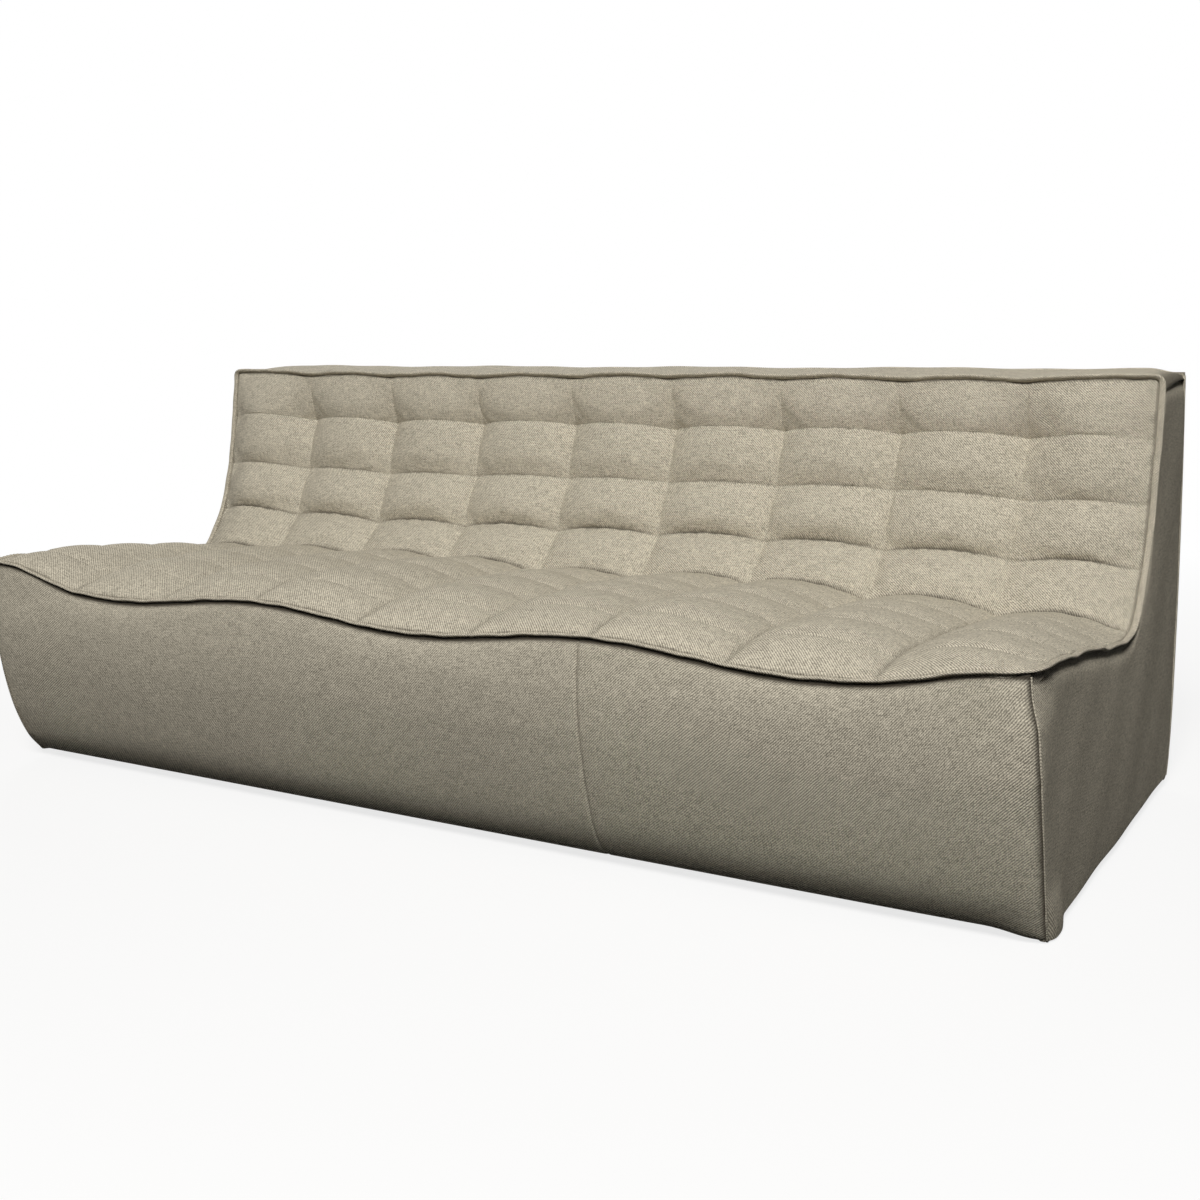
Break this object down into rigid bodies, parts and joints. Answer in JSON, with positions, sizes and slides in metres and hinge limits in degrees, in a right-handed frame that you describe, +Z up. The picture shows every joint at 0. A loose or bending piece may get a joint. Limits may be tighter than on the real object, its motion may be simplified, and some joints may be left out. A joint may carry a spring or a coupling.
{
  "type": "three-seater sofa",
  "caption": "Long armless sofa with one continuous quilted seat and back of soft tufted cells over a padded base on low hidden feet.",
  "frame": {"origin": "on the floor under the middle of the sofa's box", "axes": "+X along the sofa to the right as seen from the front, -Y out of the front, +Z up"},
  "size_m": [2.1, 0.9112, 0.76],
  "materials": {
    "upholstery": "heathered beige twill, matt",
    "dust_cloth": "black spun-bonded cloth",
    "foam": "open-cell foam",
    "webbing": "woven elastic webbing",
    "pine": "planed, unfinished",
    "plywood": "sawn, unfinished",
    "hardboard": "pressed, unfinished",
    "beech": "turned, fluted",
    "zinc_steel": "zinc plated",
    "foot_plastic": "moulded black"
  },
  "bodies": {
    "root": {"back_board": "hardboard", "back_foam_left": "foam", "back_foam_middle": "foam", "back_foam_right": "foam", "back_rib_inner_left": "plywood", "back_rib_inner_right": "plywood", "back_rib_outer_left": "plywood", "back_rib_outer_right": "plywood", "back_straps": "webbing", "back_stretcher_left": "pine", "back_stretcher_middle": "pine", "back_stretcher_right": "pine", "back_top_rail": "pine", "corner_block_front_left": "pine", "corner_block_front_right": "pine", "corner_block_rear_left": "pine", "corner_block_rear_right": "pine", "cross_rail_left": "pine", "cross_rail_right": "pine", "dust_cover": "dust_cloth", "end_cover_left": "upholstery", "end_cover_right": "upholstery", "end_pad_left": "foam", "end_pad_right": "foam", "foot_front_left": "foot_plastic", "foot_front_middle_left": "foot_plastic", "foot_front_middle_right": "foot_plastic", "foot_front_right": "foot_plastic", "foot_rear_left": "foot_plastic", "foot_rear_middle_left": "foot_plastic", "foot_rear_middle_right": "foot_plastic", "foot_rear_right": "foot_plastic", "foot_screws": "zinc_steel", "frame_dowels": "beech", "front_cover_left": "upholstery", "front_cover_right": "upholstery", "front_pad": "foam", "front_rail": "pine", "lengthwise_straps": "webbing", "quilted_cover": "upholstery", "rear_cover": "upholstery", "rear_pad": "foam", "rear_rail": "pine", "rib_bolts": "zinc_steel", "rib_nuts": "zinc_steel", "seat_foam_left": "foam", "seat_foam_middle": "foam", "seat_foam_right": "foam", "seat_straps": "webbing", "side_rail_left": "pine", "side_rail_right": "pine", "top_band": "upholstery", "top_pad": "foam", "welt_front": "upholstery", "welt_left": "upholstery", "welt_right": "upholstery", "welt_top": "upholstery"}
  },
  "joints": []
}
